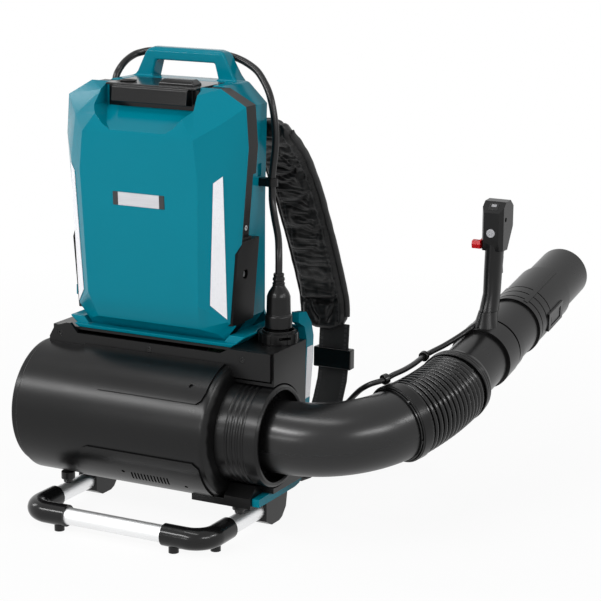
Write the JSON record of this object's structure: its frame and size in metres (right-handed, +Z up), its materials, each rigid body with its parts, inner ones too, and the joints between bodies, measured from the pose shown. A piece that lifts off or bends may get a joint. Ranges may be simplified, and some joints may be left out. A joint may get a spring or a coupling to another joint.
{
  "type": "backpack leaf blower",
  "caption": "Battery backpack leaf blower: teal power pack over a drum-shaped axial fan on a tube stand, with a side elbow, ribbed hose, pipe, nozzle and pistol control handle.",
  "frame": {"origin": "on the ground, under the fan's axis and in the power pack's middle plane", "axes": "+X along the fan's axis towards the outlet, +Y the wearer's forward side, where the nozzle points, +Z up"},
  "size_m": [0.5448, 0.7034, 0.5953],
  "materials": {
    "teal_plastic": "glossy",
    "black_plastic": "satin",
    "gloss_black": "glossy",
    "hose_plastic": "satin",
    "lead_rubber": "satin",
    "alloy_tube": "brushed satin",
    "steel": "plain",
    "pad_fabric": "woven",
    "web_fabric": "ribbed weave",
    "reflective": "glossy",
    "pale_plate": "satin",
    "cell_wrap": "satin",
    "board_green": "satin",
    "red_plastic": "glossy",
    "grey_plastic": "satin"
  },
  "bodies": {
    "root": {"pack_front_shell": "teal_plastic", "pack_band": "black_plastic", "pack_rear_shell": "teal_plastic", "cell_block": "cell_wrap", "battery_board": "board_green", "control_panel": "gloss_black", "blank_plate": "pale_plate", "reflector_strips": "reflective", "band_screws": "steel", "power_lead": "lead_rubber", "lead_gland": "lead_rubber", "lead_clip": "black_plastic", "plug_body": "black_plastic", "plug_socket": "gloss_black", "fan_cover": "black_plastic", "fan_case": "black_plastic", "upper_panel": "black_plastic", "lower_panel": "black_plastic", "intake_ring": "black_plastic", "intake_grille": "black_plastic", "outlet_sleeve": "black_plastic", "fan_motor": "steel", "stator": "black_plastic", "controller_board": "board_green", "cover_screws": "gloss_black", "pack_tray": "teal_plastic", "back_frame": "teal_plastic", "bumpers": "lead_rubber", "front_tube": "alloy_tube", "side_tubes": "alloy_tube", "stand_corners": "gloss_black", "rear_feet": "black_plastic", "back_pad": "pad_fabric", "strap_pad_right": "pad_fabric", "strap_pad_left": "pad_fabric", "webbing_right": "web_fabric", "webbing_left": "web_fabric", "strap_buckles": "gloss_black", "strap_hooks": "steel", "cable_rear": "lead_rubber", "cable_gland": "lead_rubber"},
    "fan_rotor": {"impeller": "black_plastic", "fan_shaft": "steel"},
    "duct_elbow": {"elbow_pipe": "black_plastic", "rear_hose_band": "black_plastic", "flexible_hose": "hose_plastic", "rear_tie": "hose_plastic"},
    "duct_pipe": {"front_hose_band": "black_plastic", "front_pipe": "black_plastic", "nozzle_pipe": "black_plastic", "handle_clamp": "black_plastic", "handle_shell": "black_plastic", "handle_display": "grey_plastic", "front_tie": "hose_plastic", "cable_front": "lead_rubber"},
    "trigger_blade": {"trigger": "gloss_black"},
    "cruise_lever": {"speed_lever": "red_plastic"},
    "start_button": {"power_button": "grey_plastic"},
    "pack_pad": {"pad_button": "gloss_black"},
    "plug_ring": {"lock_ring": "black_plastic"}
  },
  "joints": [
    {"name": "fan_spin", "type": "hinge", "parent": "root", "child": "fan_rotor", "pos_m": [-0.05, 0, 0.134], "axis": [1, 0, 0], "continuous": true},
    {"name": "duct_swing", "type": "hinge", "parent": "root", "child": "duct_elbow", "pos_m": [0.146, 0, 0.134], "axis": [1, 0, 0], "range_deg": [-40, 50], "deforming": ["cable_rear"]},
    {"name": "hose_bend", "type": "hinge", "parent": "duct_elbow", "child": "duct_pipe", "pos_m": [0.31955, 0.13598, 0.16043], "axis": [0, -0.1908, 0.9816], "range_deg": [-25, 25], "deforming": ["flexible_hose", "cable_front"]},
    {"name": "trigger_pull", "type": "hinge", "parent": "duct_pipe", "child": "trigger_blade", "pos_m": [0.32577, 0.32063, 0.32208], "axis": [-1, 0, 0], "range_deg": [0, 14], "stiffness_Nm_per_rad": 0.15},
    {"name": "lever_turn", "type": "hinge", "parent": "duct_pipe", "child": "cruise_lever", "pos_m": [0.30877, 0.31563, 0.33508], "axis": [-1, 0, 0], "range_deg": [0, 55]},
    {"name": "start_press", "type": "slide", "parent": "duct_pipe", "child": "start_button", "axis": [0, 1, 0], "range_m": [0, 0.0012], "stiffness_N_per_m": 300},
    {"name": "pad_press", "type": "slide", "parent": "root", "child": "pack_pad", "axis": [0, 0, -1], "range_m": [0, 0.0015], "stiffness_N_per_m": 600},
    {"name": "ring_turn", "type": "hinge", "parent": "root", "child": "plug_ring", "pos_m": [0.148, 0.046, 0.249], "axis": [0, 0, 1], "range_deg": [0, 60]}
  ]
}
